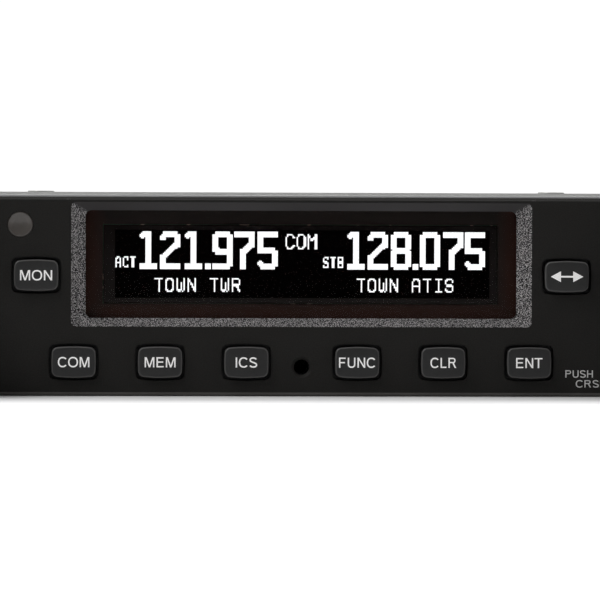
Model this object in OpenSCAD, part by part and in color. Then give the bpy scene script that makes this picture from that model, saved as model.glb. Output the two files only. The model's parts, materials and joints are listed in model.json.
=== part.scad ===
// Panel-mounted aircraft VHF communication transceiver.
// X runs left to right, Y from the face to the rear connectors, Z up. The unit rests on its chassis floor.
// Every sub-part is drawn in depths counted from the face plane, and from_face() moves it into the frame.

/* [Front bezel] */
// Width of the moulded front bezel
bezel_w = 160; // [158:0.5:162]
// Height of the bezel
bezel_h = 32.3; // [32:0.1:33]
// Depth of the bezel from its face to the front plate
bezel_d = 10; // [10:0.5:12]
// Thickness of the bezel's face
face_t = 2.4; // [2.2:0.1:2.6]
// Thickness of the bezel's rim
rim_t = 1.3; // [1:0.1:1.5]
// Chamfer round the face
face_chamfer = 0.5; // [0.2:0.1:0.8]

/* [Display] */
// Width of the sloped surround at the face
surround_w = 75.1; // [74:0.1:75.5]
// Height of the sloped surround at the face
surround_h = 20.3; // [20:0.1:20.5]
// Width of the window at the foot of the slope
window_w = 70.2; // [69:0.1:71]
// Height of the window at the foot of the slope
window_h = 17.5; // [17:0.1:18]
// Depth of the slope
surround_d = 1.9; // [1.5:0.1:2]
// Height of the display's centre above the chassis floor
display_z = 21.35; // [21:0.05:21.5]
// Width of the display panel's glass
panel_w = 64.4; // [60:0.2:65]
// Height of the display panel's glass
panel_h = 12.8; // [12:0.2:13]

/* [Keys] */
// Width of a key cap
key_w = 7.2; // [6.5:0.1:7.3]
// Height of a key cap
key_h = 5.1; // [4.8:0.1:5.4]
// How far a cap stands out of the face
key_proud = 1.1; // [0.8:0.1:1.4]
// Gap between a cap and its opening
key_gap = 0.45; // [0.3:0.05:0.5]
// Travel of a key
key_travel = 0.9; // [0.6:0.1:0.9]
// Distance between keys of the lower row
key_pitch = 14; // [13.5:0.1:14]
// Height of the lower row's centre
key_row_z = 5.5; // [5.4:0.05:5.6]
// Sideways distance of the two keys beside the display
side_key_x = 43.1; // [42.9:0.1:43.4]
// Height of the two keys beside the display
side_key_z = 19.55; // [19:0.05:20.5]

/* [Knobs] */
// Sideways distance of each knob from the middle
knob_x = 63.4; // [63:0.1:64]
// Height of the knobs' axes
knob_z = 17; // [16:0.1:18]
// Radius of the outer tuning knob
outer_knob_r = 12; // [11.5:0.1:12.5]
// Radius of the inner tuning knob
inner_knob_r = 7.8; // [7:0.1:8.5]
// Radius of the volume knob
volume_knob_r = 8.6; // [8:0.1:9.5]
// Travel of the inner tuning knob's push switch
push_travel = 0.6; // [0.4:0.1:0.6]

/* [Case] */
// Width of the chassis behind the bezel
case_w = 158; // [157.6:0.1:158.4]
// Depth of the rear panel's outer face behind the bezel's face
case_d = 260; // [255:1:265]
// Height of the case to the outside of its cover
case_h = 33.1; // [33:0.1:33.2]
// Thickness of the chassis sheet
sheet_t = 1.2; // [1:0.1:1.2]
// Thickness of the top cover
cover_t = 1; // [0.8:0.1:1.2]
// Height of the front plate, whose top edge stands just above the bezel
plate_h = 32.6; // [32.4:0.1:32.8]

/* [Lock] */
// Height of the lock screw's axis
lock_z = 4.7; // [4.6:0.1:4.8]
// Radius of the access hole in the face
lock_hole_r = 1.25; // [1.2:0.05:1.3]
// Travel of the lock pawl
pawl_travel = 6.35; // [4:0.05:7]

/* [Rear connectors] */
// Sideways place of the data connector
data_x = 26; // [24:1:28]
// Distance between the data connector's jack posts
post_pitch = 47.04; // [47:0.01:47.1]
// Sideways place of the antenna connector
antenna_x = 65; // [64:0.5:67]
// Radius of the antenna connector's barrel
antenna_r = 4.8; // [4.7:0.05:4.85]
// Height of the rear connectors' axes
connector_z = 16.5; // [16:0.5:18]

/* [Hidden] */
$fn = 64;

// Overlap that makes a cut run clear through a wall
cut = 1;
// Clearance between a part and the pocket that holds it
fit = 0.02;
// Radial clearance of a shaft in its bearing
run = 0.05;

// Depths behind the face plane of the layers in the bezel
lens_t = 1.2;
gasket_t = 0.4;
lens_back = face_t + lens_t;
frame_front = lens_back + gasket_t;
board_front = 6.8;
board_t = 1.6;
board_back = board_front + board_t;
panel_front = frame_front + 0.5;
backlight_front = panel_front + 1.5;
plate_t = 3;
plate_back = bezel_d + plate_t;
lens_w = window_w + 2.4;
lens_h = window_h + 1.6;

// Knob bushings and shafts: a quarter-inch tube on an eighth-inch rod, and a 6 mm shaft
bushing_r = 4.5;
bushing_out = 2.6;
tube_r = 3.175;
rod_r = 1.5875;
volume_shaft_r = 3;
nut_t = 2;
nut_flats = 12;
outer_knob_front = 9.4;
inner_knob_back = outer_knob_front + 0.8;
inner_knob_front = 19.6;
volume_knob_front = 14.5;
knob_stand_off = 0.8;
nut_pocket_r = 7.6;
nut_pocket_d = 2.9;
encoder_back = 19;
volume_back = 17;
tube_end = 13.1;
rod_end = 14.6;
plunger_t = 1.8;
encoder_size = 15;
volume_can_r = 8.2;

// Light sensor
sensor_x = -45.7;
sensor_z = 27.8;
sensor_r = 2.1;

// Bosses that take the bezel's screws: four at the corners and two between the lower keys
boss_r = 2.1;
boss_spots = [[-75.3, 4.6], [75.3, 4.6], [-75.3, 28.4], [75.3, 28.4], [-30, 3.7], [30, 3.7]];
small_screw_r = 1.25;
screw_head_r = 2.2;
screw_head_t = 1.5;

// Lock: screw, bracket and pawl
screw_r = 2;
lock_head_r = 2.4;
lock_head_front = 13.6;
lock_head_back = 17;
lock_bearing = [17.1, 19.1];
lock_end_bearing = [53, 55];
socket_flats = 2.4;
pawl_front = 24;
pawl_rest = pawl_front + pawl_travel;
pawl_len = 10;
pawl_w = 12;
pawl_tooth_w = 7;
pawl_top = 8;
bracket_floor = sheet_t + 1;
slot_margin = 0.6;

// Case
flange_w = 6;
rear_t = 2;
rear_in = case_d - rear_t;
cover_gap = 0.8;
cover_z = case_h - cover_t;
ledge_back = 28;
screw_low_head_t = 0.2;

// Main board
main_front = 66;
main_back = rear_in - 6;
main_w = 148;
main_z = 8;
main_t = 1.6;
main_top = main_z + main_t;
standoff_spots = [for (x = [-68, 68]) for (y = [74, 162, 236]) [x, y]];
standoff_flats = 5;

// Cover screws: the front and rear rows sit inboard, the middle pairs on the side flanges
cover_spots = [for (x = [-42.5, 42.5]) [x, 21], for (x = [-75.6, 75.6]) for (y = [95, 175]) [x, y],
  for (x = [-42.5, 42.5]) [x, rear_in - 5]];
rear_spots = [[-75.5, 5], [75.5, 5], [-75.5, 28.5], [75.5, 28.5]];

// Heat sink on the rear panel
sink_x = [-71, -10];
sink_z = [4, 29];
sink_base_t = 3;
sink_fin_t = 1.5;
sink_fin_d = 8;
sink_fins = 14;

// Data connector: flange, shell and contacts of a 25-way D connector
flange = [53.04, 12.5];
shell_top_w = 38.9;
shell_h = 8.3;
shell_slope = 1.5;
shell_t = 0.5;
shell_back = case_d + 6.6;
contact_pitch = 2.77;
contact_rows = 2.84;
thread_r = 1.42;

// Antenna connector
antenna_end = 272;
antenna_nut_t = 2.4;

// Overall depth, with the origin at its middle
front_y = (inner_knob_front - antenna_end) / 2;

// ---------------------------------------------------------------- helpers

// Moves depths counted from the face plane into the frame
module from_face() translate([0, front_y, 0]) children();

// Moves to a place on the face
module at(x, z) translate([x, 0, z]) children();

// Box between two corners
module block(low, high) translate(low) cube(high - low);

// Flat outline in X and Z, made solid from depth y0 to y1
module slab(y0, y1) translate([0, y1, 0]) rotate([90, 0, 0]) linear_extrude(y1 - y0) children();

// Round bar along Y
module bar(r, y0, y1) translate([0, y0, 0]) rotate([-90, 0, 0]) cylinder(r = r, h = y1 - y0);

// Round post along Z
module post(r, z0, z1) translate([0, 0, z0]) cylinder(r = r, h = z1 - z0);

// Six-sided bar with its size across flats, along Z
module hex_post(flats, z0, z1) translate([0, 0, z0]) cylinder(r = flats / sqrt(3), h = z1 - z0, $fn = 6);

// Six-sided bar along Y
module hex_bar(flats, y0, y1) translate([0, y0, 0]) rotate([-90, 0, 0])
  cylinder(r = flats / sqrt(3), h = y1 - y0, $fn = 6);

// Rectangle with round corners
module round_rect(w, h, r) union() {
  square([w - 2 * r, h], center = true);
  square([w, h - 2 * r], center = true);
  for (x = [-1, 1], z = [-1, 1]) translate([x * (w / 2 - r), z * (h / 2 - r)]) circle(r);
}

// Solid turned about Y from an outline of [radius, depth] points
module turned_y(points) rotate([-90, 0, 0]) rotate_extrude() polygon(points);

// Rectangle with round corners whose sides are each pushed out into a shallow parabola
bow_x = 0.14;
bow_z = 0.24;
bow_corner_r = 0.75;
function bow_corner(k, a, b) = let (sx = [1, -1, -1, 1][k], sz = [1, 1, -1, -1][k])
  [for (t = [0:15:90]) [sx * (a - bow_corner_r), sz * (b - bow_corner_r)]
    + bow_corner_r * [cos(90 * k + t), sin(90 * k + t)]];
function between(p, q, n) = [for (i = [1:n - 1]) p + (q - p) * i / n];
function bowed(w, h) = let (a = w / 2 - bow_x, b = h / 2 - bow_z)
  [for (k = [0:3]) let (c = bow_corner(k, a, b), d = bow_corner((k + 1) % 4, a, b))
    for (p = concat(c, between(c[6], d[0], 8)))
      [p[0] + p[0] / a * bow_x * (1 - pow(p[1] / b, 2)), p[1] + p[1] / b * bow_z * (1 - pow(p[0] / a, 2))]];

// D connector outline, wider along its upper edge
module d_outline(w, h) polygon([[-w / 2, h / 2], [w / 2, h / 2], [w / 2 - shell_slope, -h / 2],
  [-w / 2 + shell_slope, -h / 2]]);

function key_row_x(i) = (i < 3 ? i - 3 : i - 2) * key_pitch + (i < 3 ? 5 : -5);

key_spots = concat([for (i = [0:5]) [key_row_x(i), key_row_z]],
  [[-side_key_x, side_key_z], [side_key_x, side_key_z]]);

// ---------------------------------------------------------------- front

// Moulded face with the sloped display surround and all the openings
module front_bezel() from_face() color([0.1, 0.1, 0.1]) difference() {
  union() {
    difference() {
      at(0, bezel_h / 2) slab(0, bezel_d) round_rect(bezel_w, bezel_h, 1.2);
      block([-bezel_w / 2 + rim_t, face_t, rim_t], [bezel_w / 2 - rim_t, bezel_d + cut, bezel_h - rim_t]);
    }
    for (p = boss_spots) at(p[0], p[1]) bar(boss_r, face_t - 0.2, bezel_d);
  }
  // Chamfer along the four edges of the face
  for (s = [0, 1]) translate([0, 0, s * bezel_h]) rotate([45, 0, 0])
    cube([bezel_w + cut, face_chamfer * sqrt(2), face_chamfer * sqrt(2)], center = true);
  for (s = [-1, 1]) translate([s * bezel_w / 2, 0, bezel_h / 2]) rotate([0, 0, 45])
    cube([face_chamfer * sqrt(2), face_chamfer * sqrt(2), bezel_h + cut], center = true);
  // Sloped surround and window
  at(0, display_z) hull() {
    slab(-0.02, 0) round_rect(surround_w, surround_h, 0.8);
    slab(surround_d, surround_d + 0.02) round_rect(window_w, window_h, 1);
  }
  at(0, display_z) slab(surround_d, face_t + cut) round_rect(window_w, window_h, 1);
  for (p = key_spots) at(p[0], p[1]) slab(-cut, face_t + cut) polygon(bowed(key_w + 2 * key_gap, key_h + 2 * key_gap));
  for (s = [-1, 1]) at(s * knob_x, knob_z) bar(bushing_r + 0.1, -cut, face_t + cut);
  at(sensor_x, sensor_z) bar(sensor_r + fit, -cut, face_t + cut);
  at(0, lock_z) bar(lock_hole_r, -cut, face_t + cut);
  at(0, lock_z) turned_y([[0, -0.02], [lock_hole_r + 0.45, -0.02], [lock_hole_r, 0.45], [0, 0.45]]);
  for (p = boss_spots) at(p[0], p[1]) bar(small_screw_r + fit, 4.2, bezel_d + cut);
}

module display_lens() from_face() color([0.15, 0.1, 0.09, 0.5]) at(0, display_z)
  slab(face_t, lens_back) round_rect(lens_w, lens_h, 1);

module lens_gasket() from_face() color([0.08, 0.08, 0.08]) at(0, display_z) difference() {
  slab(lens_back, frame_front) round_rect(lens_w, lens_h, 1);
  slab(lens_back - cut, frame_front + cut) round_rect(window_w + 0.3, window_h + 0.3, 0.8);
}

// Mask and holder around the display panel
module display_frame() from_face() color([0.12, 0.08, 0.07]) at(0, display_z) difference() {
  slab(frame_front, board_front) square([lens_w, lens_h], center = true);
  slab(frame_front - cut, board_front + cut) square([panel_w + 0.2, panel_h + 0.2], center = true);
}

module display_panel() from_face() color([0.02, 0.02, 0.03]) at(0, display_z)
  slab(panel_front, backlight_front) square([panel_w, panel_h], center = true);

module display_backlight() from_face() color([0.92, 0.92, 0.9]) at(0, display_z)
  slab(backlight_front, board_front) square([panel_w - 0.4, panel_h - 0.4], center = true);

// Light pipe with a dished front and a collar behind the face
module light_sensor_window() from_face() color([0.3, 0.29, 0.28]) at(sensor_x, sensor_z)
  turned_y([[0, 0.45], [1.2, 0.3], [sensor_r - 0.25, 0.05], [sensor_r, 0.3], [sensor_r, face_t],
    [2.8, face_t], [2.8, face_t + 0.8], [sensor_r, face_t + 0.8], [sensor_r, 5.4], [0, 5.4]]);

module light_sensor() from_face() color([0.15, 0.15, 0.17]) at(sensor_x, sensor_z)
  block([-1.2, 6, -1.2], [1.2, board_front, 1.2]);

// Silicone sheet with one dome under each key; the domes are drawn pressed in
mat_front = 5.6;
mat_back = 6.4;
module keypad_mat() from_face() color([0.75, 0.75, 0.72]) union() {
  difference() {
    block([-48.5, mat_front, 2.1], [48.5, mat_back, 10.2]);
    for (x = [-30, 30]) at(x, 3.7) bar(boss_r + 0.2, mat_front - cut, mat_back + cut);
    at(0, lock_z) bar(lock_hole_r + 0.4, mat_front - cut, mat_back + cut);
  }
  for (s = [-1, 1]) translate([s * side_key_x, 0, 0]) block([-4.6, mat_front, 10], [4.6, mat_back, 23.6]);
  for (p = key_spots) at(p[0], p[1]) turned_y([[0, 4.4], [1.6, 4.4], [2.6, mat_front + 0.1], [0, mat_front + 0.1]]);
}

module key_switches() from_face() color([0.82, 0.8, 0.74]) for (p = key_spots) at(p[0], p[1])
  turned_y([[0, mat_back], [1.5, mat_back], [2.5, board_front - 0.1], [2.5, board_front], [0, board_front]]);

module front_board() from_face() color([0.06, 0.3, 0.16]) difference() {
  block([-77.4, board_front, 2], [77.4, board_back, 31]);
  for (p = boss_spots) at(p[0], p[1]) bar(boss_r + 0.2, board_front - cut, board_back + cut);
  for (s = [-1, 1]) at(s * knob_x, knob_z) bar(bushing_r + 0.1, board_front - cut, board_back + cut);
  at(0, lock_z) bar(lock_hole_r + 0.3, board_front - cut, board_back + cut);
}

// Rotary volume control: threaded bushing and round can
module volume_control() from_face() color([0.7, 0.7, 0.68]) at(-knob_x, knob_z) difference() {
  union() {
    bar(bushing_r, -bushing_out, board_back + 0.1);
    bar(volume_can_r, board_back, volume_back);
    for (x = [-3, 0, 3]) block([x - 0.6, board_back + 2, -11], [x + 0.6, board_back + 2.5, -7]);
  }
  bar(volume_shaft_r + run, -bushing_out - cut, volume_back - 1.6);
}

// Dual encoder: threaded bushing, square body and a chamber for the push plunger
module tuning_encoder() from_face() color([0.68, 0.68, 0.66]) at(knob_x, knob_z) difference() {
  union() {
    bar(bushing_r, -bushing_out, board_back + 0.1);
    slab(board_back, encoder_back) round_rect(encoder_size, encoder_size, 1);
    for (x = [-4, -2, 0, 2, 4]) block([x - 0.3, board_back + 3, -11], [x + 0.3, board_back + 3.5, -7]);
  }
  bar(tube_r + run, -bushing_out - cut, tube_end + 0.2);
  bar(2.3, tube_end, encoder_back - 0.8);
}

module bushing_nuts() from_face() color([0.78, 0.78, 0.76]) for (s = [-1, 1]) at(s * knob_x, knob_z) difference() {
  union() {
    hex_bar(nut_flats, -nut_t - 0.4, -0.4);
    bar(nut_flats / 2 + 1, -0.4, 0);
  }
  bar(bushing_r + fit, -nut_t - cut, cut);
}

// Machined front plate: its top edge shows above the bezel
module front_plate() from_face() color([0.83, 0.84, 0.85]) difference() {
  union() {
    block([-case_w / 2, bezel_d, 0], [case_w / 2, plate_back, plate_h]);
    block([-60, plate_back, cover_z - 3], [60, ledge_back, cover_z]);
  }
  at(-knob_x, knob_z) bar(volume_can_r + 0.6, bezel_d - cut, plate_back + cut);
  at(-knob_x, 6.6) block([-5, bezel_d - cut, -1.4], [5, plate_back + cut, 5]);
  at(knob_x, knob_z) slab(bezel_d - cut, plate_back + cut) square(encoder_size + 1.4, center = true);
  at(knob_x, 6.6) block([-5.4, bezel_d - cut, -1.4], [5.4, plate_back + cut, 5]);
  block([-16, bezel_d - cut, 15.4], [16, plate_back + cut, 24.6]);
  at(0, lock_z) bar(lock_hole_r + 0.2, bezel_d - cut, plate_back + cut);
  for (p = boss_spots) at(p[0], p[1]) bar(small_screw_r + 0.15, bezel_d - cut, plate_back + cut);
  for (x = [-42.5, 42.5]) translate([x, 21, 0]) post(small_screw_r + fit, cover_z - 4, cover_z + cut);
}

// ---------------------------------------------------------------- lock

// Folded bracket that carries the lock screw in two bearings and guides the pawl
module lock_bracket() from_face() color([0.72, 0.72, 0.7]) difference() {
  union() {
    block([-9, lock_bearing[0], sheet_t], [9, lock_end_bearing[1], bracket_floor]);
    for (b = [lock_bearing, lock_end_bearing]) block([-7.6, b[0], sheet_t], [7.6, b[1], pawl_top]);
    for (s = [-1, 1]) translate([s * 7, 0, 0])
      block([-0.6, lock_bearing[0], sheet_t], [0.6, lock_end_bearing[1], pawl_top - 2]);
  }
  at(0, lock_z) bar(screw_r + run, lock_bearing[0] - cut, lock_end_bearing[1] + cut);
  pawl_slot(sheet_t - cut, bracket_floor + cut);
}

// Room for the pawl's tooth and its travel
module pawl_slot(z0, z1) block([-pawl_tooth_w / 2 - slot_margin, pawl_front - slot_margin, z0],
  [pawl_tooth_w / 2 + slot_margin, pawl_front + pawl_len + pawl_travel + slot_margin, z1]);

module lock_pawl() from_face() color([0.6, 0.6, 0.62]) difference() {
  union() {
    block([-pawl_w / 2, pawl_rest, bracket_floor + 0.1], [pawl_w / 2, pawl_rest + pawl_len, pawl_top]);
    block([-pawl_tooth_w / 2, pawl_rest, 0.2], [pawl_tooth_w / 2, pawl_rest + pawl_len * 0.6, bracket_floor + 0.2]);
  }
  at(0, lock_z) bar(screw_r + run, pawl_rest - cut, pawl_rest + pawl_len + cut);
}

module lock_screw() from_face() color([0.5, 0.5, 0.52]) at(0, lock_z) difference() {
  union() {
    bar(lock_head_r, lock_head_front, lock_head_back);
    bar(screw_r, lock_head_back - 0.1, lock_end_bearing[1] + 1);
    bar(lock_head_r, lock_end_bearing[1] + 0.2, lock_end_bearing[1] + 1.6);
  }
  hex_bar(socket_flats, lock_head_front - cut, lock_head_back - 0.8);
}

// ---------------------------------------------------------------- keys

// Bowed cap with a stepped edge, and the flange that keeps it behind the face
module key(x, z) from_face() color([0.17, 0.17, 0.17]) at(x, z) union() {
  slab(-key_proud, -key_proud + 0.2) polygon(bowed(key_w - 0.8, key_h - 0.8));
  slab(-key_proud + 0.2, -key_proud + 0.45) polygon(bowed(key_w - 0.3, key_h - 0.3));
  slab(-key_proud + 0.45, face_t + 0.2) polygon(bowed(key_w, key_h));
  slab(face_t + 0.1, face_t + 0.9) round_rect(key_w + 1.9, key_h + 1.7, 0.6);
}
module key_com() key(key_spots[0][0], key_spots[0][1]);
module key_mem() key(key_spots[1][0], key_spots[1][1]);
module key_ics() key(key_spots[2][0], key_spots[2][1]);
module key_func() key(key_spots[3][0], key_spots[3][1]);
module key_clr() key(key_spots[4][0], key_spots[4][1]);
module key_ent() key(key_spots[5][0], key_spots[5][1]);
module key_mon() key(key_spots[6][0], key_spots[6][1]);
module key_swap() key(key_spots[7][0], key_spots[7][1]);

// ---------------------------------------------------------------- knobs

// Ring of shallow finger grooves round a knob
module grooves(r, count, y0, y1, size) for (i = [0:count - 1]) rotate([0, 360 * i / count, 0])
  translate([r + size * 0.55, 0, 0]) bar(size, y0, y1);

module volume_knob() from_face() color([0.12, 0.12, 0.12]) at(-knob_x, knob_z) difference() {
  turned_y([[volume_shaft_r + fit, -knob_stand_off], [volume_shaft_r + fit, -12], [0, -12],
    [0, -volume_knob_front], [volume_knob_r - 1.8, -volume_knob_front],
    [volume_knob_r - 1, -volume_knob_front + 0.8], [volume_knob_r - 0.6, -4], [volume_knob_r, -3.4],
    [volume_knob_r, -knob_stand_off]]);
  difference() {
    bar(nut_pocket_r, -nut_pocket_d, 0);
    bar(volume_shaft_r, -nut_pocket_d, 0);
  }
  grooves(volume_knob_r - 0.8, 24, -volume_knob_front - cut, -4.2, 0.6);
}

module volume_shaft() from_face() color([0.8, 0.8, 0.8]) at(-knob_x, knob_z)
  bar(volume_shaft_r, -11.9, volume_back - 1.8);

module outer_tuning_knob() from_face() color([0.12, 0.12, 0.12]) at(knob_x, knob_z) difference() {
  turned_y([[tube_r + fit, -knob_stand_off], [tube_r + fit, -outer_knob_front],
    [outer_knob_r - 1.6, -outer_knob_front], [outer_knob_r - 0.8, -outer_knob_front + 0.8],
    [outer_knob_r - 0.6, -3.6], [outer_knob_r, -3], [outer_knob_r, -knob_stand_off]]);
  difference() {
    bar(nut_pocket_r, -nut_pocket_d, 0);
    bar(tube_r, -nut_pocket_d, 0);
  }
  grooves(outer_knob_r - 0.7, 36, -outer_knob_front - cut, -3.8, 0.6);
}

module outer_shaft() from_face() color([0.8, 0.8, 0.8]) at(knob_x, knob_z) difference() {
  bar(tube_r, -outer_knob_front + 0.1, tube_end);
  bar(rod_r + run, -outer_knob_front - cut, tube_end + cut);
}

module inner_tuning_knob() from_face() color([0.12, 0.12, 0.12]) at(knob_x, knob_z) difference() {
  turned_y([[rod_r + fit, -inner_knob_back], [rod_r + fit, -17.2], [0, -17.2], [0, -inner_knob_front],
    [inner_knob_r - 1.6, -inner_knob_front], [inner_knob_r - 0.8, -inner_knob_front + 0.8],
    [inner_knob_r - 0.4, -12.6], [inner_knob_r, -12], [inner_knob_r, -inner_knob_back]]);
  grooves(inner_knob_r - 0.5, 24, -inner_knob_front - cut, -13.3, 0.6);
}

module inner_shaft() from_face() color([0.8, 0.8, 0.8]) at(knob_x, knob_z) bar(rod_r, -17.1, rod_end);

module push_plunger() from_face() color([0.9, 0.88, 0.8]) at(knob_x, knob_z)
  bar(2.25, rod_end + 0.05, rod_end + 0.05 + plunger_t);

// ---------------------------------------------------------------- case

// Row of vent slots in one side wall
module vents(y0, count) for (i = [0:count - 1]) translate([0, y0 + i * 6, 0])
  block([-case_w / 2 - cut, 0, 9], [case_w / 2 + cut, 2.4, 25]);

// Floor and side walls folded from one sheet, with flanges under the cover
module chassis() from_face() color([0.78, 0.78, 0.76]) difference() {
  union() {
    block([-case_w / 2, plate_back, 0], [case_w / 2, rear_in, sheet_t]);
    for (s = [0, 1]) mirror([s, 0, 0]) {
      block([case_w / 2 - sheet_t, plate_back, 0], [case_w / 2, rear_in, cover_z]);
      block([case_w / 2 - flange_w, ledge_back, cover_z - sheet_t], [case_w / 2, rear_in, cover_z]);
    }
    for (p = rear_spots) at(p[0], p[1]) block([-3.4, rear_in - 4, -3.6], [3.4, rear_in, 3.6]);
  }
  for (p = rear_spots) at(p[0], p[1]) bar(small_screw_r + fit, rear_in - 5, rear_in + cut);
  vents(60, 9);
  vents(170, 12);
  pawl_slot(-cut, sheet_t + cut);
  for (p = cover_spots) if (p[1] > ledge_back) translate([p[0], p[1], 0]) post(small_screw_r + fit, cover_z - 3, cover_z + cut);
  for (p = standoff_spots) translate([p[0], p[1], 0]) post(1.6, -cut, sheet_t + cut);
}

// Cover sheet with two fields of vent holes
module top_cover() from_face() color([0.8, 0.8, 0.78]) difference() {
  block([-case_w / 2, plate_back + cover_gap, cover_z], [case_w / 2, case_d, case_h]);
  for (i = [0:15], j = [0:4]) translate([-57 + i * 7.6, 60 + j * 7.6, 0]) post(1.7, cover_z - cut, case_h + cut);
  for (i = [0:15], j = [0:4]) translate([-57 + i * 7.6, 195 + j * 7.6, 0]) post(1.7, cover_z - cut, case_h + cut);
  for (p = cover_spots) translate([p[0], p[1], 0]) post(small_screw_r + 0.2, cover_z - cut, case_h + cut);
}

// Rear sheet with a flange folded forward under the cover
module rear_panel() from_face() color([0.78, 0.78, 0.76]) difference() {
  union() {
    block([-case_w / 2, rear_in, 0], [case_w / 2, case_d, cover_z]);
    block([-60, rear_in - 10, cover_z - sheet_t], [60, rear_in + 0.1, cover_z]);
  }
  for (p = cover_spots) translate([p[0], p[1], 0]) post(small_screw_r + fit, cover_z - 3, cover_z + cut);
  at(data_x, connector_z) slab(rear_in - cut, case_d + cut) round_rect(shell_top_w + 2.6, shell_h + 2.6, 1);
  for (s = [-1, 1]) at(data_x + s * post_pitch / 2, connector_z) bar(1.6, rear_in - cut, case_d + cut);
  at(antenna_x, connector_z) bar(antenna_r - 0.15, rear_in - cut, case_d + cut);
  for (p = rear_spots) at(p[0], p[1]) bar(small_screw_r + 0.15, rear_in - cut, case_d + cut);
  for (x = [sink_x[0] + 4, sink_x[1] - 4]) at(x, connector_z) bar(small_screw_r + 0.15, rear_in - cut, case_d + cut);
}

module heat_sink() from_face() color([0.1, 0.1, 0.1]) difference() {
  union() {
    block([sink_x[0], case_d, sink_z[0]], [sink_x[1], case_d + sink_base_t, sink_z[1]]);
    for (i = [0:sink_fins - 1]) translate([sink_x[0] + i * (sink_x[1] - sink_x[0] - sink_fin_t) / (sink_fins - 1), 0, 0])
      block([0, case_d, sink_z[0]], [sink_fin_t, case_d + sink_base_t + sink_fin_d, sink_z[1]]);
  }
  for (x = [sink_x[0] + 4, sink_x[1] - 4]) at(x, connector_z) {
    bar(small_screw_r + fit, case_d - cut, case_d + sink_base_t + cut);
    bar(screw_head_r + 0.4, case_d + sink_base_t, case_d + sink_base_t + sink_fin_d + cut);
  }
}

// Maker's plate on the right side, between the two rows of vents
module data_plate() from_face() color([0.86, 0.86, 0.84])
  translate([case_w / 2, 140, 16.5]) rotate([90, 0, 90]) linear_extrude(0.3) round_rect(50, 20, 1.5);

// ---------------------------------------------------------------- boards

module main_board() from_face() color([0.06, 0.3, 0.16]) difference() {
  block([-main_w / 2, main_front, main_z], [main_w / 2, main_back, main_top]);
  for (p = standoff_spots) translate([p[0], p[1], 0]) post(1.4, main_z - cut, main_top + cut);
}

module board_standoffs() from_face() color([0.8, 0.72, 0.45]) for (p = standoff_spots) translate([p[0], p[1], 0]) difference() {
  hex_post(standoff_flats, sheet_t, main_z);
  post(small_screw_r + fit, sheet_t - cut, main_z + cut);
}

// Small pan-head screw with its head's seat at the origin, its shank towards -Z
module small_screw(length, head_t) difference() {
  union() {
    post(screw_head_r, 0, head_t);
    post(small_screw_r, -length, 0.1);
  }
  for (a = [0, 90]) rotate([0, 0, a]) block([-1.3, -0.25, head_t * 0.45], [1.3, 0.25, head_t + cut]);
}

module inner_screws() from_face() color([0.75, 0.75, 0.75]) {
  for (p = boss_spots) translate([p[0], plate_back, p[1]]) rotate([-90, 0, 0]) small_screw(8, screw_head_t);
  for (p = standoff_spots) translate([p[0], p[1], main_top]) small_screw(6, screw_head_t);
}

module case_screws() from_face() color([0.75, 0.75, 0.75]) {
  for (p = cover_spots) translate([p[0], p[1], case_h]) small_screw(4, screw_low_head_t);
  for (p = rear_spots) translate([p[0], case_d, p[1]]) rotate([-90, 0, 0]) small_screw(4, screw_low_head_t);
  for (x = [sink_x[0] + 4, sink_x[1] - 4]) translate([x, case_d + sink_base_t, connector_z])
    rotate([-90, 0, 0]) small_screw(6.5, screw_head_t);
}

// Drawn steel cans, open underneath, over the receiver, synthesizer and transmitter sections
cans = [[[-66, 84], [-8, 142]], [[4, 84], [48, 126]], [[-66, 170], [-22, 232]]];
can_top = 19;
can_t = 0.5;
module shield_cans() from_face() color([0.76, 0.77, 0.76]) for (c = cans) difference() {
  block([c[0][0], c[0][1], main_top], [c[1][0], c[1][1], can_top]);
  block([c[0][0] + can_t, c[0][1] + can_t, main_top - cut], [c[1][0] - can_t, c[1][1] - can_t, can_top - can_t]);
}

// Two flanged power transistors standing against the rear panel, behind the heat sink
module power_transistors() from_face() color([0.2, 0.2, 0.22]) for (x = [-56, -30]) translate([x, 0, 0]) union() {
  block([-9, rear_in - 2.4, 11], [9, rear_in, 24]);
  block([-6, rear_in - 5.4, 12.5], [6, rear_in - 2.3, 22.5]);
  for (s = [-2.5, 0, 2.5]) block([s - 0.5, rear_in - 6.8, main_top], [s + 0.5, rear_in - 6.2, 14]);
  block([-3, rear_in - 6.8, 13.6], [3, rear_in - 5.3, 14.4]);
}

// Electrolytic capacitors standing on the board
module capacitors() from_face() color([0.13, 0.14, 0.2]) for (i = [0:3])
  translate([12 + i * 13, 216, 0]) post(5, main_top, main_top + (i < 2 ? 16 : 12.5));

// Ring cores lying on the board
module toroid_coils() from_face() color([0.6, 0.32, 0.15]) for (i = [0:2]) translate([-2 + i * 17, 192, main_top + 2.6])
  rotate_extrude() translate([5, 0]) circle(2.5);

module audio_transformer() from_face() color([0.35, 0.35, 0.36]) translate([54, 170, 0]) union() {
  block([-9.5, -8, main_top], [9.5, 8, main_top + 2]);
  block([-9.5, -3, main_top + 2], [9.5, 3, main_top + 15]);
  block([-6, -7, main_top + 3], [6, 7, main_top + 13]);
}

module reference_oscillator() from_face() color([0.8, 0.8, 0.78]) translate([26, 148, 0])
  block([-10, -6, main_top], [10, 6, main_top + 8]);

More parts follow.
